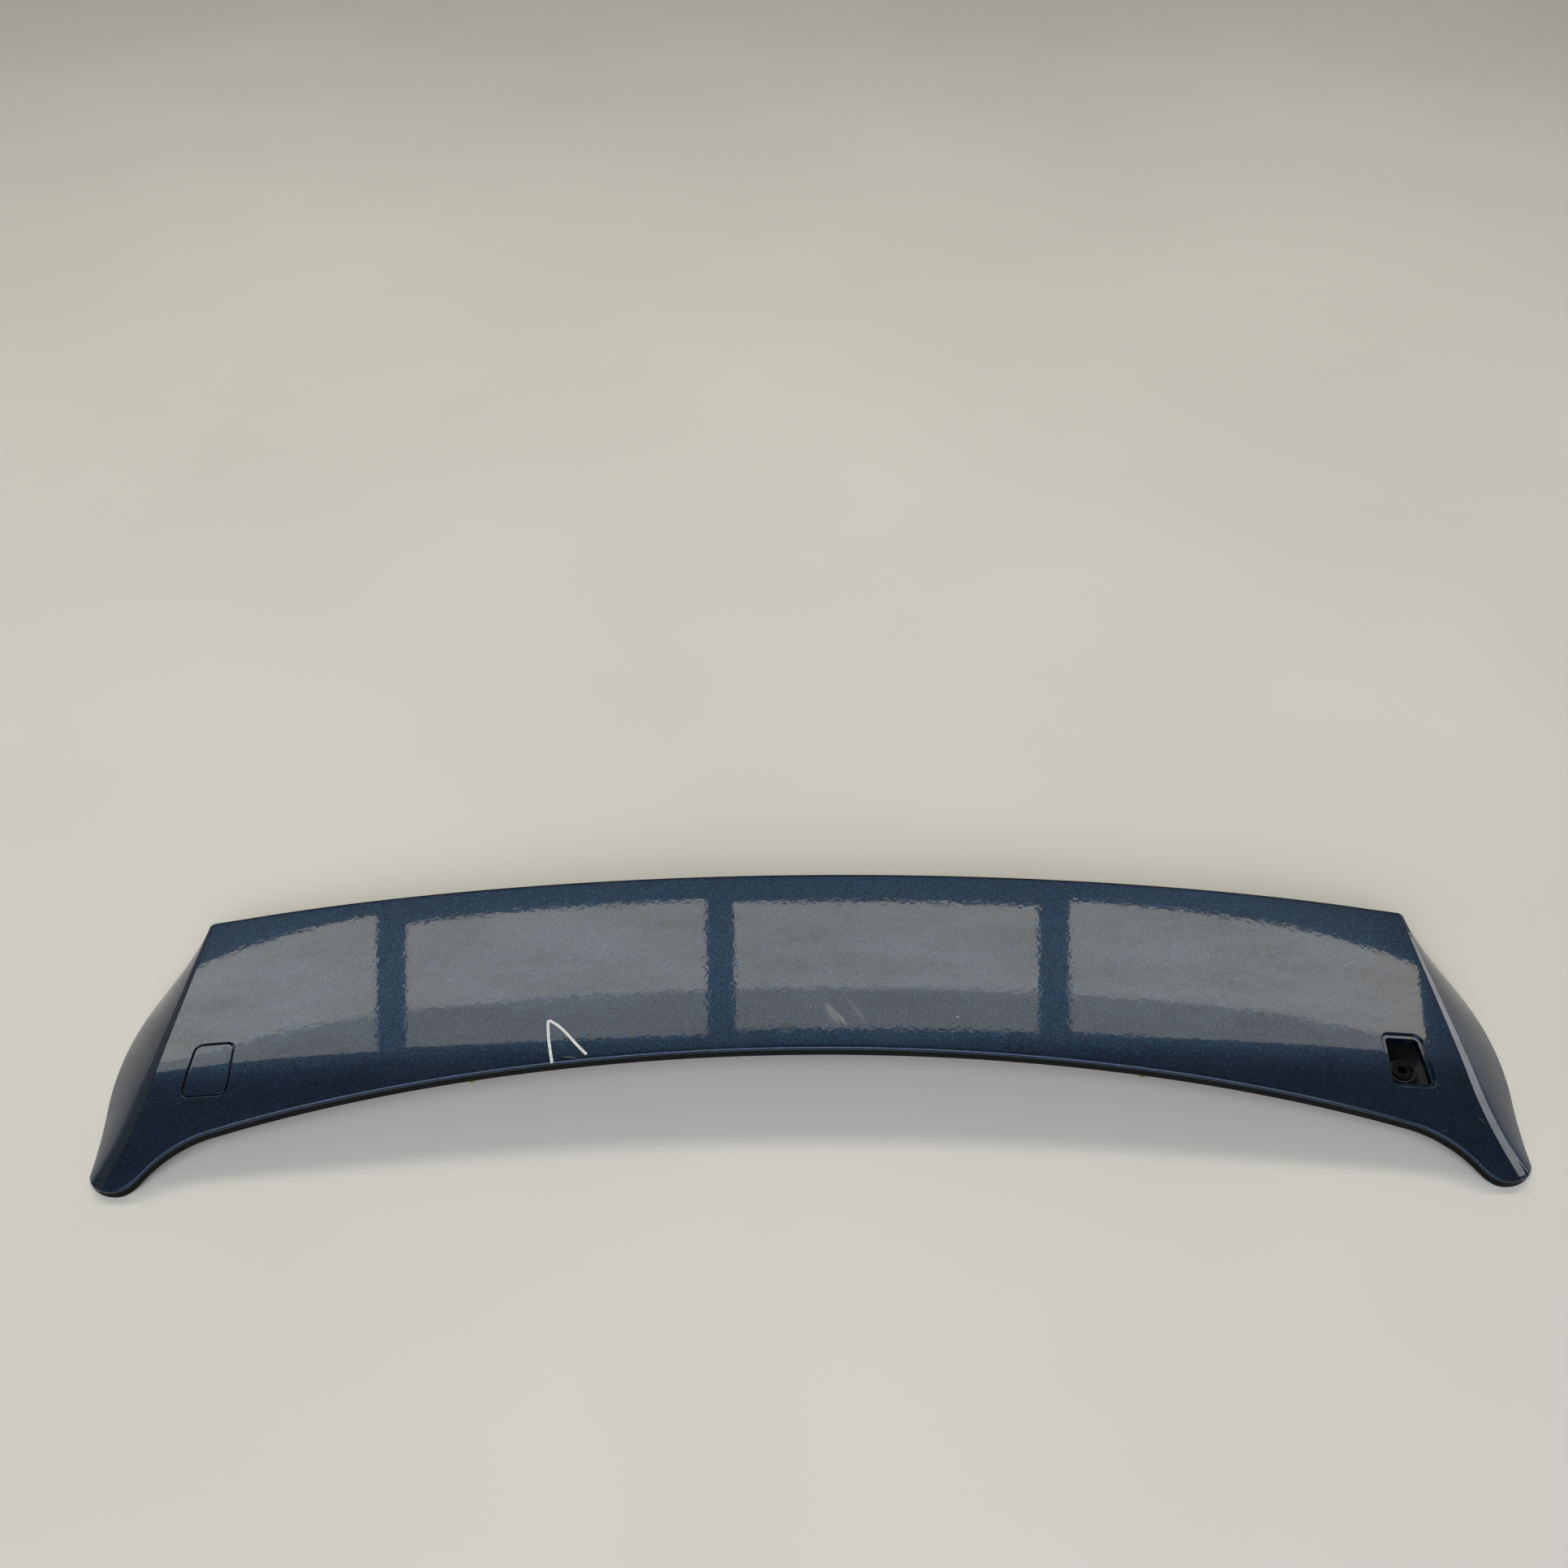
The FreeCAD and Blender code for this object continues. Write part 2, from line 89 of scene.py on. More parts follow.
FIN_FRONT_RUN = 154.0       # and to the front
FIN_REAR_Y = 122.0          # where the fin's foot starts to sweep up
SIDE_BOW = 1.4              # belly of the outer side
FULL_BOW_RUN = 45.0         # a side shorter than this has less belly
SKIN_WALL = 3.0
SIDE_LIP_WALL = 0.2         # the side's rear edge closes to this
LIP_DEPTH = 10.0
LIP_TURN_END = 1.2          # from this line of the side on, the rear lip lies square to it
LEADING_ROLL = 2.6          # roundings of the skin's edges
TRAILING_ROLL = 2.8
SIDE_ROLL = 1.2
SCREW_X = 495.0
CAP_LENGTH = 46.0
CAP_REAR_WIDTH = 32.0
CAP_FRONT_WIDTH = 38.0
CAP_CORNER = 6.0
CAP_WALL = 2.2
CAP_EDGE = 0.8              # rounding of the cap's edge
CAP_GAP = 1.0               # shut line round the cap
OPENING_EDGE = 0.9          # rounding of the opening's edge
HOOK_Y = 19.5               # snap hooks at both ends of the cap
HOOK_WIDTH = 10.0
HOOK_WALL = 1.6
HOOK_LENGTH = 10.0
PAD_X, PAD_Y = 546.0, -53.0
STRIP_FRONT = 12.2          # strip behind the leading edge
STRIP_HALF_SPAN = 430.0
STRIP_SQUEEZE = 0.98        # fitted height for each free millimetre
PANEL_SEAT = 6.6            # pads and strip start this far below the top
PEN_HALF_WIDTH = 1.15
PEN_FILM = 0.04             # height of the ink above the paint
PEN_FLATNESS = 0.05         # the round stroke is pressed to this share of its height


def top_height(x, y):
    """Height of the painted top."""
    crown = x * x / (2 * CROWN_RADIUS) + END_DROP * (np.abs(x) / END_SPAN) ** END_POWER
    camber = (y - CREST_Y) ** 2 / (2 * CAMBER_RADIUS)
    droop = np.minimum(y - DROOP_START, 0) ** 2 / (2 * DROOP_RADIUS)
    return TOP_Z - crown - camber - droop


def crease_x(y):
    """Line between the top and the side facet."""
    return CREASE_REAR_X + (CREST_Y - y) * CREASE_FLARE + np.maximum(0, SPLAY_Y - y) ** 2 / (2 * SPLAY_RADIUS)


def side_point(y, w):
    """Point on the side: w from 0 at the crease to 1 at the shoulder, and on to 2 at the foot."""
    slope = math.radians(FACET_SLOPE)
    x = crease_x(y)
    width = FACET_REAR + (FACET_TIP - FACET_REAR) * (CREST_Y - y) / (CREST_Y - TIP_Y)
    crease = np.array([x, y, top_height(x, y)])
    shoulder = crease + np.array([math.cos(slope), 0, -math.sin(slope)]) * width
    if w <= 1:
        return crease + (shoulder - crease) * w
    run = FIN_REAR_RUN if y > FIN_BULGE_Y else FIN_FRONT_RUN
    foot_x = max(x + FIN_BULGE * (1 - ((y - FIN_BULGE_Y) / run) ** 2), shoulder[0])
    foot = np.array([foot_x, y, min(FLOOR_Z, shoulder[2] - 1)])
    fall = (foot - shoulder) / np.linalg.norm(foot - shoulder)
    out = np.array([-fall[2], 0, fall[0]])
    u = w - 1
    bow = SIDE_BOW * min(1, np.linalg.norm(foot - shoulder) / FULL_BOW_RUN)
    return shoulder + (foot - shoulder) * u + out * bow * 4 * u * (1 - u)


def front_line(x):
    """Leg's nose and the straight cut beside it."""
    if x > NOSE_END_X:
        return NOSE_END_Y + (x - NOSE_END_X) * math.tan(math.radians(NOSE_TURN))
    return NOSE_Y - math.sqrt(max(NOSE_RADIUS ** 2 - (x - NOSE_X) ** 2, 0))


def rear_line(x):
    """Trailing corner and the straight cut beside it."""
    if x > CORNER_END_X:
        return CORNER_END_Y - (x - CORNER_END_X) * math.tan(math.radians(CORNER_TURN))
    return CORNER_Y + math.sqrt(max(CORNER_RADIUS ** 2 - (x - CORNER_X) ** 2, 0))


def trailing_y(x):
    """Trailing edge."""
    return CHORD - TRAILING_RADIUS + math.sqrt(TRAILING_RADIUS ** 2 - x ** 2)


def solve(rule, low, high):
    """Place where a rule goes from negative to positive."""
    for _ in range(50):
        middle = (low + high) / 2
        if rule(middle) > 0:
            high = middle
        else:
            low = middle
    return (low + high) / 2


def side_ends(w):
    """Front and rear ends of the side's line w, looked for on the leg and on the rear half."""
    leg_range, rear_range = (TIP_Y + 0.1, -20), (60, 178)
    front = solve(lambda y: y - front_line(side_point(y, w)[0]), *leg_range)

    def past_rear(y):
        point = side_point(y, w)
        return max(y - rear_line(point[0]), FLOOR_Z + (y - FIN_REAR_Y) - point[2])
    return front, solve(past_rear, *rear_range)


def leading_outline():
    """Half of the front outline: leading edge, hollow blend and nose, up to the crease."""
    lead, nose = np.array([0, -LEADING_RADIUS]), np.array([NOSE_X, NOSE_Y])
    gap = np.linalg.norm(nose - lead)
    reach, span = LEADING_RADIUS - LEG_BLEND_RADIUS, LEG_BLEND_RADIUS + NOSE_RADIUS
    turn = math.acos((reach ** 2 + gap ** 2 - span ** 2) / (2 * reach * gap))
    aim = math.atan2(nose[1] - lead[1], nose[0] - lead[0]) + turn
    blend = lead + reach * np.array([math.cos(aim), math.sin(aim)])
    tip = math.atan2(blend[1] - nose[1], blend[0] - nose[0])
    edge_angles = np.linspace(math.pi / 2, aim, 400)
    blend_angles = np.linspace(aim, tip + math.pi, 120)
    start = tip - 2 * math.pi if tip > 0 else tip
    nose_angles = np.linspace(start, math.radians(NOSE_TURN - 90), 120)
    edge = lead + LEADING_RADIUS * np.stack([np.cos(edge_angles), np.sin(edge_angles)], 1)
    hollow = blend + LEG_BLEND_RADIUS * np.stack([np.cos(blend_angles), np.sin(blend_angles)], 1)
    round_nose = nose + NOSE_RADIUS * np.stack([np.cos(nose_angles), np.sin(nose_angles)], 1)
    leg = np.concatenate([hollow, round_nose[1:]])
    leg = leg[leg[:, 0] < crease_x(leg[:, 1])]
    tip_y = side_ends(0)[0]
    return edge, np.concatenate([leg, [[crease_x(tip_y), tip_y]]])


def along(line, share):
    """Points at given shares of a line's length."""
    steps = np.concatenate([[0], np.cumsum(np.linalg.norm(np.diff(line, axis=0), axis=1))])
    return np.stack([np.interp(share * steps[-1], steps, line[:, k]) for k in range(2)], 1)


# Making and finishing meshes

def deselect():
    """Leave edit mode and select nothing."""
    if bpy.context.object and bpy.context.object.mode != "OBJECT":
        bpy.ops.object.mode_set(mode="OBJECT")
    bpy.ops.object.select_all(action="DESELECT")


def only(piece):
    """Make one piece the selected and active one."""
    deselect()
    piece.select_set(True)
    bpy.context.view_layer.objects.active = piece


def set_points(piece, points):
    """Put a mesh's points at places given in millimetres."""
    piece.data.vertices.foreach_set("co", (np.asarray(points, float) * MM).ravel())
    piece.data.update()


def tidy_mesh(piece, angle, merge=0.00001):
    """Merge doubles, turn faces outwards and shade smooth up to an angle."""
    only(piece)
    bpy.ops.object.mode_set(mode="EDIT")
    bpy.ops.mesh.select_all(action="SELECT")
    bpy.ops.mesh.remove_doubles(threshold=merge)
    bpy.ops.mesh.normals_make_consistent(inside=False)
    bpy.ops.object.mode_set(mode="OBJECT")
    bpy.ops.object.shade_smooth_by_angle(angle=math.radians(angle))


def apply_modifier(piece, kind, **settings):
    """Add a modifier, set it and apply it."""
    only(piece)
    modifier = piece.modifiers.new(kind.lower(), kind)
    for name, value in settings.items():
        setattr(modifier, name, value)
    bpy.ops.object.modifier_apply(modifier=modifier.name)


def ring_piece(name, rings, close_first, close_last):
    """A circle of edges, extruded from one ring of points to the next."""
    deselect()
    bpy.ops.mesh.primitive_circle_add(vertices=len(rings[0]), radius=1, fill_type="NOTHING")
    piece = bpy.context.object
    piece.name = name
    points = list(rings[0])
    bpy.ops.object.mode_set(mode="EDIT")
    bpy.ops.mesh.select_all(action="SELECT")
    if close_first:
        bpy.ops.mesh.edge_face_add()
        bpy.ops.mesh.select_mode(type="EDGE")
    for ring in rings[1:]:
        bpy.ops.mesh.extrude_edges_move()
        points += list(ring)
    if close_last:
        bpy.ops.mesh.edge_face_add()
    bpy.ops.mesh.select_mode(type="VERT")
    bpy.ops.object.mode_set(mode="OBJECT")
    set_points(piece, points)
    return piece


def grid_piece(name, points):
    """A flat grid laid on rows of points, and each vertex's row."""
    rows, columns = points.shape[:2]
    deselect()
    bpy.ops.mesh.primitive_grid_add(x_subdivisions=columns - 1, y_subdivisions=rows - 1, size=2)
    piece = bpy.context.object
    piece.name = name
    flat = np.empty(rows * columns * 3)
    piece.data.vertices.foreach_get("co", flat)
    flat = flat.reshape(-1, 3)
    column = np.rint((flat[:, 0] + 1) / 2 * (columns - 1)).astype(int)
    row = np.rint((flat[:, 1] + 1) / 2 * (rows - 1)).astype(int)
    set_points(piece, points[row, column])
    return piece, row


def close_ends(piece):
    """Merge doubled points and fill the open ends."""
    only(piece)
    bpy.ops.object.mode_set(mode="EDIT")
    bpy.ops.mesh.select_all(action="SELECT")
    bpy.ops.mesh.remove_doubles(threshold=0.000002)
    bpy.ops.mesh.select_all(action="DESELECT")
    bpy.ops.mesh.select_non_manifold(extend=False, use_multi_face=False, use_non_contiguous=False, use_verts=False)
    bpy.ops.mesh.fill(use_beauty=False)
    bpy.ops.mesh.select_all(action="SELECT")
    bpy.ops.mesh.normals_make_consistent(inside=False)
    bpy.ops.object.mode_set(mode="OBJECT")


def join(first, others):
    """Join pieces into the first one."""
    only(first)
    for other in others:
        other.select_set(True)
    bpy.ops.object.join()
    return first


# Materials

def colour(text):
    """sRGB hex value as linear red, green, blue and alpha."""
    parts = [int(text[i:i + 2], 16) / 255 for i in (1, 3, 5)]
    return [p / 12.92 if p <= 0.04045 else ((p + 0.055) / 1.055) ** 2.4 for p in parts] + [1.0]


def new_material(name):
    """Empty node material and its surface shader."""
    material = bpy.data.materials.new(name)
    material.use_nodes = True
    tree = material.node_tree
    tree.nodes.clear()
    shader = tree.nodes.new("ShaderNodeBsdfPrincipled")
    output = tree.nodes.new("ShaderNodeOutputMaterial")
    tree.links.new(shader.outputs[0], output.inputs[0])
    return material, tree, shader


def add(tree, kind, inputs=None, stops=(), **settings):
    """Add a node: inputs holds values or the sockets to link, stops the places and values of a ramp."""
    node = tree.nodes.new("ShaderNode" + kind)
    for name, value in settings.items():
        setattr(node, name, value)
    for key, value in (inputs or {}).items():
        if isinstance(value, bpy.types.NodeSocket):
            tree.links.new(value, node.inputs[key])
        else:
            node.inputs[key].default_value = value
    for _ in stops[2:]:
        node.color_ramp.elements.new(0.5)
    for number, (place, value) in enumerate(stops):
        node.color_ramp.elements[number].position = place
        node.color_ramp.elements[number].color = value
    return node


def grey(value):
    """Grey stop for a ramp."""
    return (value, value, value, 1)


# Marks of use on the paint, in millimetres: x, y, half length, half width, turn in degrees, strength
LIGHT_MARKS = [
    (22, 33, 13, 4.5, -63, 0.30), (30, 27, 9, 1.6, -60, 0.45), (42, 36, 16, 2.4, -58, 0.14),
    (125.5, 29.2, 1.5, 1.2, 0, 0.9), (545, -48, 6, 0.6, -44, 0.7), (496, -62, 8, 0.6, -26, 0.6),
    (512, -58, 5, 0.5, 20, 0.4), (-193, -4.5, 7, 0.8, -8, 0.7),
]
DARK_MARKS = [
    (-18, 22.8, 5, 3, 20, 0.6), (79.7, 149.4, 1.8, 1.2, -50, 0.9), (114.4, 63.6, 1.3, 1.0, 0, 0.8),
    (153.3, 63.8, 1.3, 1.0, 0, 0.8), (102.2, 32.3, 1.6, 1.1, 30, 0.8), (519, 119, 8, 0.7, 5, 0.9),
    (-196, -6, 8, 1.3, -6, 0.9), (-237, 118, 4, 0.6, -35, 0.8), (-330, 52, 1.4, 1.0, 0, 0.7),
    (300, 96, 1.2, 0.9, 0, 0.7), (-95, 108, 1.2, 0.8, 0, 0.6), (412, 60, 1.5, 0.8, 10, 0.7),
]


def mark_mask(tree, place, marks, grit):
    """Soft mask over a list of marks, broken up by grit."""
    total = None
    for x, y, length, width, turn, strength in marks:
        centre = (x * MM, y * MM, float(top_height(x, y)) * MM)
        local = add(tree, "Mapping", {"Vector": place, "Location": centre, "Rotation": (0, 0, math.radians(turn)),
                                      "Scale": (length * MM, width * MM, 0.01)}, vector_type="TEXTURE")
        spot = add(tree, "TexGradient", {"Vector": local.outputs[0]}, gradient_type="SPHERICAL").outputs[1]
        spot = add(tree, "MapRange", {0: spot, 1: 0.0, 2: 0.5, 3: 0.0, 4: strength}).outputs[0]
        total = spot if total is None else add(tree, "Math", {0: total, 1: spot}, operation="MAXIMUM").outputs[0]
    broken = add(tree, "MapRange", {0: grit, 1: 0.35, 2: 0.55, 3: 0.45, 4: 1.0}).outputs[0]
    return add(tree, "Math", {0: total, 1: broken}, operation="MULTIPLY").outputs[0]


def metallic_blue_paint():
    """Dark blue base coat with metal flake under clear coat, hazed by dust and dull with fine scratches."""
    material, tree, shader = new_material("blue_metallic_base_coat_under_clear_coat")
    place = add(tree, "TexCoord").outputs["Object"]
    # flake is about 0.1 mm: drawn at 0.7 mm so that it shows
    flake = add(tree, "TexVoronoi", {"Vector": place, "Scale": 1 / 0.0007})
    sparkle = add(tree, "SeparateColor", {0: flake.outputs["Color"]}).outputs[0]
    blues = [(0.0, colour("#0d1c2f")), (0.7, colour("#122942")), (1.0, colour("#234468"))]
    tint = add(tree, "ValToRGB", {0: sparkle}, blues).outputs[0]
    # film of dust: wiped streaks of about 110 by 35 mm, broken up at 6 mm
    streaks = add(tree, "Mapping", {"Vector": place, "Scale": (1 / 0.11, 1 / 0.035, 1 / 0.035)}).outputs[0]
    clouds = add(tree, "TexNoise", {"Vector": streaks, "Scale": 1.0, "Detail": 6.0, "Roughness": 0.66})
    film = add(tree, "ValToRGB", {0: clouds.outputs[0]}, [(0.40, grey(0.0)), (0.66, grey(1.0))]).outputs[0]
    grit = add(tree, "TexNoise", {"Vector": place, "Scale": 1 / 0.006, "Detail": 4.0, "Roughness": 0.7})
    gritty = add(tree, "ValToRGB", {0: grit.outputs[0]}, [(0.35, grey(0.25)), (0.7, grey(1.0))]).outputs[0]
    dust = add(tree, "Math", {0: film, 1: gritty}, operation="MULTIPLY").outputs[0]
    veil = add(tree, "Math", {0: dust, 1: 0.05}, operation="MULTIPLY").outputs[0]
    base = add(tree, "Mix", {"Factor": veil, "A": tint, "B": colour("#7b7c78")}, data_type="RGBA").outputs["Result"]
    # grains of dirt of about 0.8 mm, some 14 mm apart
    grains = add(tree, "TexVoronoi", {"Vector": place, "Scale": 1 / 0.014})
    near = add(tree, "MapRange", {0: grains.outputs["Distance"], 1: 0.02, 2: 0.035, 3: 0.7, 4: 0.0}).outputs[0]
    base = add(tree, "Mix", {"Factor": near, "A": base, "B": colour("#8f908b")}, data_type="RGBA").outputs["Result"]
    for marks, shade in ((LIGHT_MARKS, "#737a7e"), (DARK_MARKS, "#08090b")):
        spot = mark_mask(tree, place, marks, grit.outputs[0])
        base = add(tree, "Mix", {"Factor": spot, "A": base, "B": colour(shade)}, data_type="RGBA").outputs["Result"]
    tree.links.new(base, shader.inputs["Base Color"])
    gloss = add(tree, "MapRange", {0: dust, 3: 0.28, 4: 0.40}).outputs[0]
    tree.links.new(gloss, shader.inputs["Roughness"])
    clear = add(tree, "MapRange", {0: dust, 3: 0.60, 4: 0.41}).outputs[0]
    tree.links.new(clear, shader.inputs["Coat Weight"])
    # orange peel of about 5 mm and polishing marks
    peel = add(tree, "TexNoise", {"Vector": place, "Scale": 1 / 0.005, "Detail": 2.0})
    bump = add(tree, "Bump", {"Strength": 0.05, "Distance": 0.0004, "Height": peel.outputs[0]})
    tree.links.new(bump.outputs[0], shader.inputs["Normal"])
    tree.links.new(bump.outputs[0], shader.inputs["Coat Normal"])
    shader.inputs["Metallic"].default_value = 0.85
    shader.inputs["Coat Roughness"].default_value = 0.025
    shader.inputs["Coat IOR"].default_value = 1.52
    return material


def moulded_plastic(name, dark, light, grain, rough, shine=0.5):
    """Moulded plastic with a fine grain, a little paler on the grain's tops."""
    material, tree, shader = new_material(name)
    place = add(tree, "TexCoord").outputs["Object"]
    texture = add(tree, "TexNoise", {"Vector": place, "Scale": 1 / grain, "Detail": 3.0, "Roughness": 0.6})
    stains = add(tree, "TexNoise", {"Vector": place, "Scale": 1 / 0.05, "Detail": 4.0})
    blend = add(tree, "Math", {0: texture.outputs[0], 1: stains.outputs[0]}, operation="MULTIPLY").outputs[0]
    tint = add(tree, "ValToRGB", {0: blend}, [(0.12, colour(dark)), (0.45, colour(light))]).outputs[0]
    tree.links.new(tint, shader.inputs["Base Color"])
    gloss = add(tree, "MapRange", {0: texture.outputs[0], 3: rough + 0.08, 4: rough - 0.08}).outputs[0]
    tree.links.new(gloss, shader.inputs["Roughness"])
    bump = add(tree, "Bump", {"Strength": 0.25, "Distance": grain * 0.15, "Height": texture.outputs[0]})
    tree.links.new(bump.outputs[0], shader.inputs["Normal"])
    shader.inputs["Specular IOR Level"].default_value = shine
    return material


def zinc_plate():
    """Black-passivated zinc plate on steel: dull, with cloudy patches."""
    material, tree, shader = new_material("black_zinc_plated_steel")
    place = add(tree, "TexCoord").outputs["Object"]
    cloud = add(tree, "TexNoise", {"Vector": place, "Scale": 1 / 0.004, "Detail": 4.0})
    tint = add(tree, "ValToRGB", {0: cloud.outputs[0]}, [(0.3, colour("#111111")), (0.7, colour("#1f1f1e"))]).outputs[0]
    tree.links.new(tint, shader.inputs["Base Color"])
    gloss = add(tree, "MapRange", {0: cloud.outputs[0], 3: 0.38, 4: 0.55}).outputs[0]
    tree.links.new(gloss, shader.inputs["Roughness"])
    shader.inputs["Metallic"].default_value = 1.0
    return material


def pen_ink():
    """White paint-pen ink: matt, thinner where the stroke ran dry."""
    material, tree, shader = new_material("white_paint_pen_ink")
    place = add(tree, "TexCoord").outputs["Object"]
    patch = add(tree, "TexNoise", {"Vector": place, "Scale": 1 / 0.0025, "Detail": 3.0})
    tint = add(tree, "ValToRGB", {0: patch.outputs[0]}, [(0.3, colour("#b9bcbd")), (0.55, colour("#e8e9e8"))]).outputs[0]
    tree.links.new(tint, shader.inputs["Base Color"])
    shader.inputs["Roughness"].default_value = 0.6
    return material


paint = metallic_blue_paint()
# textured ABS: near black, with a soft broad sheen
black_abs = moulded_plastic("black_abs_moulding", "#070708", "#151516", 0.0012, 0.5)
# bare ABS on the leading lip, and painted shade on the trailing roll and lip where the paint really wraps round: a dark
# line with hardly any shine
edge_black_and_painted_shade = moulded_plastic("black_abs_edge_and_painted_shade", "#030303", "#080808", 0.001, 0.55, 0.12)
# extruded rubber: dull dark grey
rubber = moulded_plastic("extruded_rubber", "#0d0d0d", "#1a1a19", 0.0008, 0.7)
# closed-cell foam: matt charcoal, with fine pores
foam = moulded_plastic("closed_cell_foam", "#121213", "#2b2b2c", 0.0006, 0.85)
# aged nylon: yellowed and waxy
nylon = moulded_plastic("yellowed_nylon", "#8d8456", "#b5ab7c", 0.0015, 0.4)
zinc = zinc_plate()
ink = pen_ink()


# Painted skin

TOP_SPLIT = 0.80            # share of the columns that lead from the straight edge, not the leg
ROLL_EASE = 0.95            # from this column on, the roundings shrink to the side's
CORNER_PULL = 40            # how late the columns bend to the round trailing corner
ROLL_STEPS = 5


def half_columns():
    """Column places from the centre to the foot: (zone, place)."""
    flat = np.linspace(0, 1, 132)[:-1]
    near_crease = [0.9985]
    facet = [0.0, 0.08, 0.5, 0.92, 1.0]
    outer = [1.02, 1.06, 1.12] + list(np.linspace(1.2, 2.0, 13))
    return [("top", s) for s in list(flat) + near_crease] + [("side", w) for w in facet + outer]


def main_rows():
    """Shares of a column from its front to its rear, closer at both ends."""
    even = np.linspace(0, 1, 64)
    return even - 0.35 * np.sin(2 * math.pi * even) / (2 * math.pi)


def bezier(first, corner, last, steps):
    """Rounded corner from first to last."""
    u = np.linspace(0, 1, steps + 2)[1:, None]
    return first * (1 - u) ** 2 + 2 * corner * u * (1 - u) + last * u ** 2


def column_line(zone, place, shares, outline):
    """Points of one column on the outer face, at given shares from front to rear."""
    if zone == "side":
        front, rear = side_ends(place)
        return np.array([side_point(front + (rear - front) * t, place) for t in shares])
    edge, leg = outline
    share = np.array([place])
    if place < TOP_SPLIT:
        front = along(edge, share / TOP_SPLIT)[0]
    else:
        front = along(leg, (share - TOP_SPLIT) / (1 - TOP_SPLIT))[0]
    tip_y, corner_y = side_ends(0)
    rear_x = crease_x(corner_y) * place
    rear = np.array([rear_x, trailing_y(rear_x)])
    rear[1] += place ** CORNER_PULL * (corner_y - trailing_y(crease_x(corner_y)))
    t = np.asarray(shares)[:, None]
    line = front * (1 - t) + rear * t
    crease_y = tip_y + (corner_y - tip_y) * t[:, 0]
    straight = crease_x(tip_y) * (1 - t[:, 0]) + crease_x(corner_y) * t[:, 0]
    line[:, 0] += (crease_x(crease_y) - straight) * place ** 2
    return np.column_stack([line, top_height(line[:, 0], line[:, 1])])


def skin_rings():
    """Ring of points for each column: outer face, rear lip, inner face and front lip."""
    outline = leading_outline()
    rows = main_rows()
    columns = half_columns()
    dense = np.linspace(0, 1, 400)
    outer = []
    ends = []
    for zone, place in columns:
        line = column_line(zone, place, dense, outline)
        steps = np.concatenate([[0], np.cumsum(np.linalg.norm(np.diff(line, axis=0), axis=1))])
        ease = 1.0 if zone == "side" else max(0.0, (place - ROLL_EASE) / (1 - ROLL_EASE))
        roll_front = LEADING_ROLL + (SIDE_ROLL - LEADING_ROLL) * ease
        roll_rear = TRAILING_ROLL + (SIDE_ROLL - TRAILING_ROLL) * ease
        where = roll_front + (steps[-1] - roll_front - roll_rear) * rows
        outer.append(np.stack([np.interp(where, steps, line[:, k]) for k in range(3)], 1))
        ends.append((line[0], line[-1], roll_front, roll_rear))
    outer = np.array(outer)
    down = np.gradient(outer, axis=1)
    across = np.gradient(outer, axis=0)
    normals = np.cross(across, down)
    normals /= np.linalg.norm(normals, axis=2, keepdims=True)
    rings = []
    for k, (zone, place) in enumerate(columns):
        front, rear, roll_front, roll_rear = ends[k]
        fall = np.array([0, 0, -1.0])
        rear_fall, rear_depth = fall, LIP_DEPTH
        if zone == "side":
            turn = min(place / LIP_TURN_END, 1.0)
            rear_fall = fall * (1 - turn) - normals[k, -1] * turn
            rear_fall = rear_fall / np.linalg.norm(rear_fall)
            rear_depth = LIP_DEPTH * (1 - turn) + SKIN_WALL * turn
        inner = outer[k] - normals[k] * SKIN_WALL
        rear_in = (outer[k, -3] - outer[k, -1]) / np.linalg.norm(outer[k, -3] - outer[k, -1])
        front_in = (outer[k, 2] - outer[k, 0]) / np.linalg.norm(outer[k, 2] - outer[k, 0])
        rear_wall = SKIN_WALL if zone == "top" else SIDE_LIP_WALL
        front_lip = front + fall * LIP_DEPTH
        ring = list(outer[k])
        ring += list(bezier(outer[k, -1], rear, rear + rear_fall * roll_rear, ROLL_STEPS))
        ring += [rear + rear_fall * rear_depth, rear + rear_fall * rear_depth + rear_in * rear_wall]
        ring += list(inner[::-3])
        ring += [front_lip + front_in * SKIN_WALL, front_lip]
        ring += list(bezier(outer[k, 0], front, front + fall * roll_front, ROLL_STEPS)[::-1])
        ring.append(outer[k, 0])
        ring = np.array(ring)
        ring[:, 2] = np.maximum(ring[:, 2], FLOOR_Z)
        rings.append(ring)
    rings = np.array(rings)
    mirrored = rings[:0:-1] * np.array([-1, 1, 1])
    return np.concatenate([mirrored, rings]), len(rows)


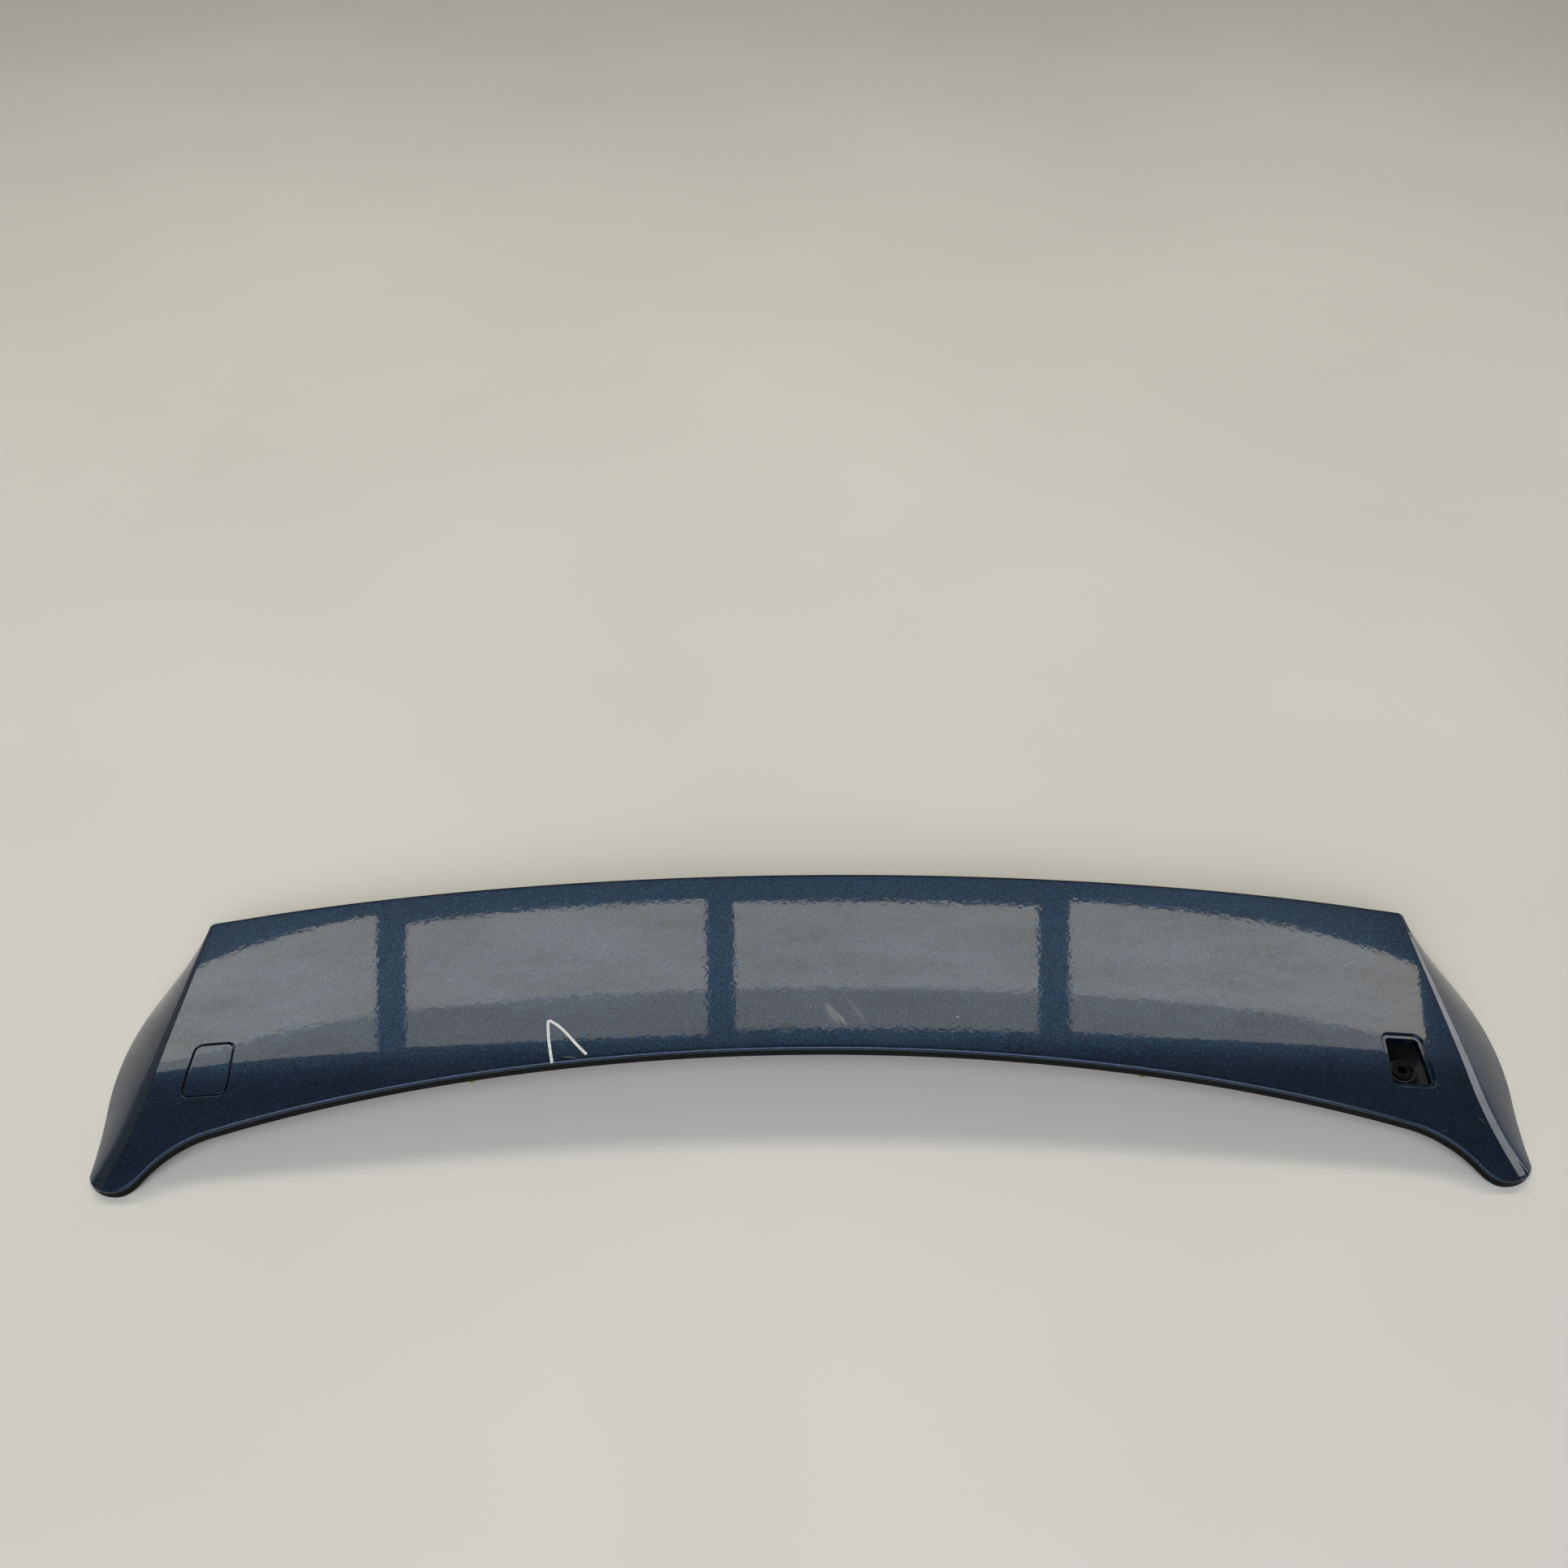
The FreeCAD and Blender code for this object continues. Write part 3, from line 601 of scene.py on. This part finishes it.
def cap_outline(grow, side, corner_steps=12, side_steps=10):
    """Plan outline of a cover cap, grown all round."""
    half = CAP_LENGTH / 2 + grow
    middle = (CAP_REAR_WIDTH + CAP_FRONT_WIDTH) / 4 + grow
    lean = (CAP_FRONT_WIDTH - CAP_REAR_WIDTH) / (2 * CAP_LENGTH) * half
    rear, front = middle - lean, middle + lean
    corners = [np.array(c) for c in ((rear, half), (-rear, half), (-front, -half), (front, -half))]
    radius = CAP_CORNER + grow
    points = []
    for k in range(4):
        before, here, after = corners[k - 1], corners[k], corners[(k + 1) % 4]
        back = (before - here) / np.linalg.norm(before - here)
        ahead = (after - here) / np.linalg.norm(after - here)
        half_angle = math.acos(np.clip(back @ ahead, -1, 1)) / 2
        reach = radius / math.tan(half_angle)
        bisector = (back + ahead) / np.linalg.norm(back + ahead)
        centre = here + bisector * radius / math.sin(half_angle)
        first = math.atan2(*(here + back * reach - centre)[::-1])
        last = math.atan2(*(here + ahead * reach - centre)[::-1])
        last += 2 * math.pi if last < first else 0
        angles = np.linspace(first, last, corner_steps)
        arc = centre + radius * np.stack([np.cos(angles), np.sin(angles)], 1)
        if points:
            points += list(np.linspace(points[-1], arc[0], side_steps)[1:-1])
        points += list(arc)
    points += list(np.linspace(points[-1], points[0], side_steps)[1:-1])
    return np.array(points) + np.array([side * SCREW_X, 0])


def on_top(plan, drop):
    """Plan points put at a depth below the top."""
    return np.column_stack([plan, top_height(plan[:, 0], plan[:, 1]) - drop])


def opening_collar(side):
    """Rounded edge, ledge and collar of a cap opening."""
    # growth of the cap's outline and depth below the top
    profile = [(CAP_GAP + OPENING_EDGE * (1 - u) ** 2, OPENING_EDGE * u * u) for u in (0.0, 0.25, 0.5, 0.75, 1.0)]
    profile += [(CAP_GAP, 2.0), (0.7, 2.3), (-2.2, 2.3), (-2.5, 2.6), (-2.5, 9.0), (3.0, 9.0), (3.0, 2.5), profile[0]]
    return ring_piece("collar", [on_top(cap_outline(grow, side), drop) for grow, drop in profile], False, False)


def pen_mark():
    """Hand-drawn white chevron at the leading edge."""
    stroke = [(-206.9, -9.0), (-211.4, 10.1), (-213.6, 25.6), (-213.9, 31.2), (-209.5, 29.0), (-201.9, 22.9),
              (-193.3, 13.3), (-186.2, 4.7), (-179.2, -2.2)]
    deselect()
    bpy.ops.curve.primitive_nurbs_path_add(radius=1)
    path = bpy.context.object
    path.data.splines.clear()
    spline = path.data.splines.new("NURBS")
    spline.points.add(len(stroke) - 1)
    for point, (x, y) in zip(spline.points, stroke):
        point.co = (x * MM, y * MM, 0, 1)
    spline.order_u = 3
    spline.use_endpoint_u = True
    spline.resolution_u = 12
    path.data.bevel_depth = PEN_HALF_WIDTH * MM
    path.data.bevel_resolution = 2
    path.data.use_fill_caps = True
    bpy.ops.object.convert(target="MESH")
    mark = bpy.context.object
    flat = np.empty(len(mark.data.vertices) * 3)
    mark.data.vertices.foreach_get("co", flat)
    flat = flat.reshape(-1, 3) / MM
    flat[:, 2] = top_height(flat[:, 0], flat[:, 1]) + PEN_FILM + flat[:, 2] * PEN_FLATNESS
    set_points(mark, flat)
    mark.data.materials.clear()
    mark.data.materials.append(ink)
    return mark


def outer_skin():
    """Painted shell with its lips, fins and the two cap openings."""
    rings, row_count = skin_rings()
    skin, row = grid_piece("painted_skin", np.swapaxes(rings, 0, 1))
    ring_size = rings.shape[1]
    rear_lip = row_count + ROLL_STEPS + 1
    front_roll = ring_size - 1 - (ROLL_STEPS + 1)
    corners = np.array([list(p.vertices) for p in skin.data.polygons])
    first = row[corners].min(1)
    inside = (first >= rear_lip) & (first < front_roll)
    # black: the leading lip as bare ABS, and the whole trailing roll and lip as painted shade, a dark line along that
    # edge
    edge = (first == front_roll - 1) | ((first >= row_count) & (first < rear_lip))
    material = np.where(edge, 1, np.where(inside, 2, 0))
    for finish in (paint, edge_black_and_painted_shade, black_abs):
        skin.data.materials.append(finish)
    skin.data.polygons.foreach_set("material_index", material)
    close_ends(skin)
    for side in (-1, 1):
        plan = cap_outline(CAP_GAP + OPENING_EDGE, side)
        column_rings = [np.column_stack([plan, np.full(len(plan), z)]) for z in (0.0, TOP_Z + 2)]
        cutter = ring_piece("opening_cutter", column_rings, True, True)
        tidy_mesh(cutter, 30)
        apply_modifier(skin, "BOOLEAN", operation="DIFFERENCE", object=cutter, solver="EXACT")
        bpy.data.objects.remove(cutter)
    collars = [opening_collar(side) for side in (-1, 1)]
    for collar in collars:
        collar.data.materials.append(paint)
        tidy_mesh(collar, 40)
    mark = pen_mark()
    tidy_mesh(mark, 60)
    join(skin, collars + [mark])
    only(skin)
    bpy.ops.object.shade_smooth_by_angle(angle=math.radians(38))
    return skin


def cover_cap(side):
    """Painted cap with a rounded edge, flush with the top, and its two snap hooks."""
    middle = np.array([side * SCREW_X, 0.0])
    plan = cap_outline(-CAP_EDGE, side) - middle
    rings = [on_top(plan * share + middle, 0.0) for share in (0.08, 0.25, 0.45, 0.65, 0.82, 0.94, 1.0)]
    for u in (0.25, 0.5, 0.75, 1.0):
        rings.append(on_top(cap_outline(-CAP_EDGE * (1 - u) ** 2, side), CAP_EDGE * u * u))
    rings.append(on_top(cap_outline(0.0, side), CAP_WALL))
    rings.append(on_top(cap_outline(-1.5, side), CAP_WALL))
    cap = ring_piece("painted_cover_cap", rings, True, True)
    cap.data.materials.append(paint)
    hooks = []
    for end in (-1, 1):
        top = float(top_height(SCREW_X, end * HOOK_Y)) - 1.5
        deselect()
        bpy.ops.mesh.primitive_cube_add(size=1)
        hook = bpy.context.object
        box = np.array([list(v.co) for v in hook.data.vertices])
        across = box[:, 0] * HOOK_WIDTH + side * SCREW_X
        ahead = end * (HOOK_Y + box[:, 1] * HOOK_WALL)
        set_points(hook, np.column_stack([across, ahead, top + (box[:, 2] - 0.5) * HOOK_LENGTH]))
        only(hook)
        apply_modifier(hook, "BEVEL", width=0.0004, segments=2)
        hook.data.materials.append(paint)
        hooks.append(hook)
    cap = join(cap, hooks)
    tidy_mesh(cap, 40)
    return cap


# Small pieces

def rounded_copy(node, name, width, material):
    """Copy of a solid with its edges rounded as moulded or turned ones are."""
    deselect()
    piece = nodes[node].copy()
    piece.data = nodes[node].data.copy()
    for key in list(piece.keys()):
        del piece[key]
    bpy.context.scene.collection.objects.link(piece)
    piece.parent = None
    piece.name = name
    only(piece)
    bpy.ops.object.mode_set(mode="EDIT")
    bpy.ops.mesh.select_all(action="SELECT")
    bpy.ops.mesh.remove_doubles(threshold=0.000005)
    bpy.ops.mesh.dissolve_limited(angle_limit=math.radians(4))
    bpy.ops.object.mode_set(mode="OBJECT")
    apply_modifier(piece, "BEVEL", width=width, segments=3, limit_method="ANGLE", angle_limit=math.radians(35))
    bpy.ops.object.shade_smooth_by_angle(angle=math.radians(35))
    piece.data.materials.clear()
    piece.data.materials.append(material)
    return piece


def circle(radius, z, x=0.0, y=0.0, count=64):
    """Ring of points."""
    angles = np.linspace(0, 2 * math.pi, count, endpoint=False)
    return np.column_stack([x + radius * np.cos(angles), y + radius * np.sin(angles), np.full(count, z)])


def foam_ring(side):
    """Die-cut foam ring, a little pressed and bulged."""
    x = side * SCREW_X
    # radius and height
    profile = [(6.0, 0.0), (12.4, 0.0), (12.8, -0.4), (13.0, -1.5), (12.8, -2.6), (12.4, -3.0),
               (6.4, -3.0), (6.1, -2.7), (6.0, -2.3), (6.0, 0.0)]
    ring = ring_piece("foam_ring", [circle(r, z, x) for r, z in profile], False, False)
    ring.data.materials.append(foam)
    tidy_mesh(ring, 40)
    return ring


def foam_pad(side):
    """Foam pad under the leg, rounded at its foot, its head following the panel."""
    head = circle(7.9, 0.0, side * PAD_X, PAD_Y)
    rings = [on_top(head[:, :2], PANEL_SEAT)]
    # radius and height, below the head
    for radius, z in ((8.0, 0.5), (7.7, -4.0), (7.95, -6.5), (7.6, -8.3), (6.6, -9.0), (3.0, -9.0)):
        ring = circle(radius, z, side * PAD_X, PAD_Y)
        ring[:, 2] = np.minimum(z, top_height(ring[:, 0], ring[:, 1]) - PANEL_SEAT - 0.3)
        rings.append(ring)
    pad = ring_piece("foam_leg_pad", rings, True, True)
    pad.data.materials.append(foam)
    tidy_mesh(pad, 40)
    return pad


def rubber_bulb():
    """Extruded strip with a flat back and a rounded bulb, along the leading edge."""
    centre, inner = np.array([0, -LEADING_RADIUS]), LEADING_RADIUS + STRIP_FRONT
    reach = math.acos(STRIP_HALF_SPAN / inner)
    # distance back and drop
    profile = [(0.3, 0.0), (3.7, 0.0), (4.0, 0.5), (3.9, 2.0), (3.4, 3.6), (2.6, 4.6),
               (2.0, 4.9), (1.4, 4.6), (0.6, 3.6), (0.1, 2.0), (0.0, 0.5), (0.3, 0.0)]
    angles = np.linspace(reach, math.pi - reach, 160)
    points = np.empty((len(profile), len(angles), 3))
    for k, (back, drop) in enumerate(profile):
        plan = centre + (inner + back) * np.stack([np.cos(angles), np.sin(angles)], 1)
        points[k] = on_top(plan, PANEL_SEAT + drop * STRIP_SQUEEZE)
    strip, _ = grid_piece("rubber_bulb_strip", points)
    close_ends(strip)
    strip.data.materials.append(rubber)
    tidy_mesh(strip, 40)
    return strip


def dress(piece, node):
    """Fix a finished piece to the part in place of its solid."""
    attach(piece, "root")
    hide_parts(node)


dress(outer_skin(), "outer_skin")
dress(cover_cap(-1), "cover_cap_left")
dress(rubber_bulb(), "leading_edge_seal")
for hand, side in (("left", -1), ("right", 1)):
    dress(foam_ring(side), "screw_seal_" + hand)
    dress(foam_pad(side), "leg_pad_" + hand)
    clip, sleeve = "edge_clip_" + hand, "screw_sleeve_" + hand
    dress(rounded_copy(clip, "nylon_clip_" + hand, 0.0003, nylon), clip)
    dress(rounded_copy(sleeve, "steel_sleeve_" + hand, 0.0003, zinc), sleeve)
nodes["inner_panel"].data.materials.clear()
nodes["inner_panel"].data.materials.append(black_abs)


# Floor, light and camera

def studio_floor():
    """Pale table top, very slightly uneven in tone."""
    material, tree, shader = new_material("pale_laminate_floor")
    place = add(tree, "TexCoord").outputs["Object"]
    tone = add(tree, "TexNoise", {"Vector": place, "Scale": 1 / 0.6, "Detail": 3.0})
    tint = add(tree, "ValToRGB", {0: tone.outputs[0]}, [(0.3, colour("#dcdbd4")), (0.7, colour("#e4e3dc"))]).outputs[0]
    tree.links.new(tint, shader.inputs["Base Color"])
    shader.inputs["Roughness"].default_value = 0.75
    deselect()
    bpy.ops.mesh.primitive_plane_add(size=14)
    floor = bpy.context.object
    floor.name = "studio_floor"
    for vertex in floor.data.vertices:
        vertex.co.z = FLOOR_Z * MM
    floor.data.materials.append(material)


def soft_panel(name, centre, aim, width, height, radiance, tint):
    """Rectangular soft light of a set brightness that faces a point."""
    light = bpy.data.lights.new(name, "AREA")
    light.shape = "RECTANGLE"
    light.size, light.size_y = width, height
    light.energy = radiance * math.pi * width * height
    light.color = colour(tint)[:3]
    lamp = bpy.data.objects.new(name, light)
    bpy.context.scene.collection.objects.link(lamp)
    direction = Vector(aim) - Vector(centre)
    lamp.rotation_euler = direction.to_track_quat("-Z", "Y").to_euler()
    lamp.location = centre
    return lamp


def studio_light():
    """Row of soft panels behind and above, which the top mirrors, a fill in front and a strip for the right facet."""
    # 55 degrees up, where the top's mirrored view leads
    away = Vector((0, 0.574, 0.819))
    along_panel = Vector((0, -0.819, 0.574))
    # left, right, lower and upper edge in metres, on a plane across the mirrored view
    columns = [(-2.75, -1.375, -0.29, 0.30), (-1.265, -0.293, -0.235, 0.26),
               (-0.207, 0.725, -0.222, 0.245), (0.823, 2.27, -0.25, 0.24)]
    distance, split, bright, dim = 2.6, 0.10, 5.1, 2.7
    for left, right, low, high in columns:
        for first, last, radiance in ((low, split, bright), (split, high, dim)):
            centre = away * distance + along_panel * ((first + last) / 2) + Vector(((left + right) / 2, 0, 0))
            soft_panel("panel", centre, centre - away, right - left, last - first, radiance, "#fff4de")
    soft_panel("front_fill", (-0.3, -2.6, 2.8), (0, 0, 0), 4.4, 3.0, 2.7, "#f4f7ff")
    strip = soft_panel("right_strip", (2.82, 1.04, 0.26), (0.55, 0.03, 0.02), 1.25, 0.18, 3.0, "#fffdf8")
    strip.rotation_euler = (strip.rotation_euler.to_matrix() @ Matrix.Rotation(math.radians(-17), 3, "Z")).to_euler()
    world = bpy.data.worlds.new("studio")
    bpy.context.scene.world = world
    world.use_nodes = True
    tree = world.node_tree
    background = tree.nodes["Background"]
    background.inputs["Color"].default_value = colour("#f4f4f1")
    background.inputs["Strength"].default_value = 0.2


def photo_camera():
    """Camera at the photograph's place: 54 degrees up, 1.32 m from the crest."""
    photo_size, focal, distance = 1932, 1900.0, 1.32
    aim_x, aim_y = 992, 1183    # where the crest lies in the photo, in pixels
    rise, bearing, roll = math.radians(54), math.radians(-0.31), math.radians(-0.30)
    target = Vector((0, 0.086, 0.058))
    back = Vector((math.sin(bearing) * math.cos(rise), -math.cos(bearing) * math.cos(rise), math.sin(rise)))
    ahead = -back
    right = ahead.cross(Vector((0, 0, 1))).normalized()
    up = right.cross(ahead)
    right, up = right * math.cos(roll) + up * math.sin(roll), up * math.cos(roll) - right * math.sin(roll)
    aim = Vector(((aim_x - photo_size / 2) / focal, (photo_size / 2 - aim_y) / focal, 1)).normalized()
    turn = Vector((0, 0, 1)).rotation_difference(aim).to_matrix()
    axes = turn @ Matrix((right, up, ahead))
    data = bpy.data.cameras.new("photo_camera")
    data.sensor_width = 36
    data.lens = focal / photo_size * data.sensor_width
    camera = bpy.data.objects.new("photo_camera", data)
    bpy.context.scene.collection.objects.link(camera)
    camera.matrix_world = Matrix((
        (axes[0][0], axes[1][0], -axes[2][0], target.x + back.x * distance),
        (axes[0][1], axes[1][1], -axes[2][1], target.y + back.y * distance),
        (axes[0][2], axes[1][2], -axes[2][2], target.z + back.z * distance),
        (0, 0, 0, 1),
    ))
    bpy.context.scene.camera = camera


studio_floor()
studio_light()
photo_camera()
bpy.context.scene.view_settings.view_transform = "Standard"
